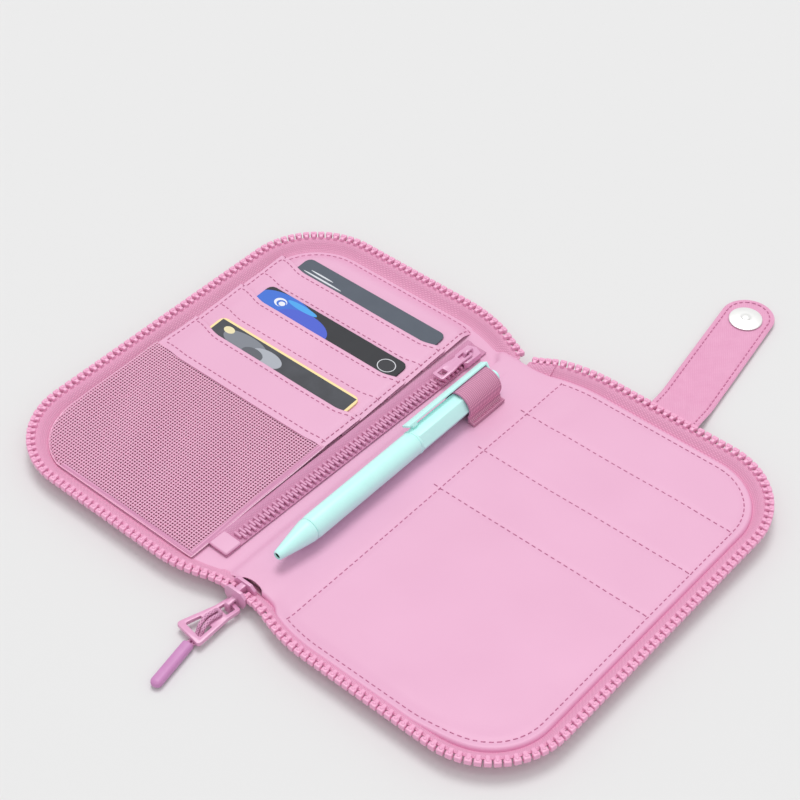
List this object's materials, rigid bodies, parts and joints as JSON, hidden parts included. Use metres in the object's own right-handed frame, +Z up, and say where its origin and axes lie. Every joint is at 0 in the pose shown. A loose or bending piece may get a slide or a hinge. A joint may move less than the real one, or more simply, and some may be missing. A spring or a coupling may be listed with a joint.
{
  "type": "travel wallet",
  "caption": "Zip-round travel wallet lying open: card slots, net pocket and inner zip on one half, flat pockets on the other, a pen in a spine loop and a snap strap.",
  "frame": {"origin": "centre of the spine's underside, where the open wallet rests on the table", "axes": "+Y along the spine towards the strap, +X towards the half with the strap, +Z up out of the open wallet"},
  "size_m": [0.2872, 0.3439, 0.0219],
  "materials": {
    "outer_fabric": "woven polyester canvas",
    "board": "stiff board, hidden",
    "padding_foam": "soft foam, hidden",
    "lining_fabric": "smooth coated fabric",
    "zip_tape": "woven zip tape",
    "zip_teeth": "moulded zip teeth",
    "zip_metal": "satin lacquer over cast zinc",
    "pull_cord": "braided cord",
    "pull_grip": "soft moulded rubber",
    "mesh_net": "knitted net",
    "card_slate": "laminated card",
    "card_black": "laminated card",
    "card_gold": "laminated card",
    "pen_body": "satin moulded plastic",
    "pen_refill": "drawn metal tube",
    "loop_elastic": "ribbed elastic",
    "snap_metal": "nickel plated"
  },
  "bodies": {
    "left_half": {"left_outer_cover": "outer_fabric", "left_stiffener_board": "board", "left_pocket_backing": "lining_fabric", "left_zip_tape": "zip_tape", "left_zip_teeth": "zip_teeth", "left_lining": "lining_fabric", "card_slot_panel": "lining_fabric", "upper_card": "card_slate", "middle_card": "card_black", "lower_card": "card_gold", "mesh_pocket": "mesh_net", "inner_zip_tape": "zip_tape", "inner_zip_teeth": "zip_teeth", "inner_zip_end_tab": "lining_fabric", "snap_socket": "snap_metal"},
    "spine": {"spine_outer_cover": "outer_fabric", "spine_padding": "padding_foam", "spine_lining": "lining_fabric", "pen_loop": "loop_elastic", "pen_tip": "pen_body", "pen_barrel": "pen_body", "pen_upper_body": "pen_body", "pen_clip": "pen_body", "main_slider": "zip_metal", "lower_chain_end_left": "zip_teeth", "lower_chain_end_right": "zip_teeth", "upper_chain_end_left": "zip_teeth", "upper_chain_end_right": "zip_teeth"},
    "right_half": {"right_outer_cover": "outer_fabric", "right_stiffener_board": "board", "right_pocket_backing": "lining_fabric", "right_zip_tape": "zip_tape", "right_zip_teeth": "zip_teeth", "right_lining_panel": "lining_fabric", "closing_strap": "outer_fabric", "snap_stud": "snap_metal"},
    "inner_slider": {"inner_slider": "zip_metal"},
    "inner_pull": {"inner_pull": "zip_metal"},
    "pen_button": {"pen_button": "pen_body", "pen_refill": "pen_refill"},
    "main_pull": {"pull_frame": "zip_metal", "pull_cord": "pull_cord", "pull_grip": "pull_grip"}
  },
  "joints": [
    {"name": "left_crease", "type": "hinge", "parent": "left_half", "child": "spine", "pos_m": [-0.0155, 0, 0.0024], "axis": [0, -1, 0], "range_deg": [0, 86]},
    {"name": "right_crease", "type": "hinge", "parent": "spine", "child": "right_half", "pos_m": [0.0155, 0, 0.0024], "axis": [0, -1, 0], "range_deg": [0, 97]},
    {"name": "inner_zip_travel", "type": "slide", "parent": "left_half", "child": "inner_slider", "axis": [-0.0192, -0.9998, 0], "range_m": [0, 0.134]},
    {"name": "inner_pull_hinge", "type": "hinge", "parent": "inner_slider", "child": "inner_pull", "pos_m": [-0.0198, 0.0746, 0.0087], "axis": [1, 0, 0], "range_deg": [-90, 0]},
    {"name": "pen_click", "type": "slide", "parent": "spine", "child": "pen_button", "axis": [0, -1, 0], "range_m": [0, 0.0024], "stiffness_N_per_m": 150, "springref_m": -0.002},
    {"name": "main_pull_hinge", "type": "hinge", "parent": "spine", "child": "main_pull", "pos_m": [0.0002, -0.0986, 0.00325], "axis": [-1, 0, 0], "range_deg": [0, 45]}
  ]
}
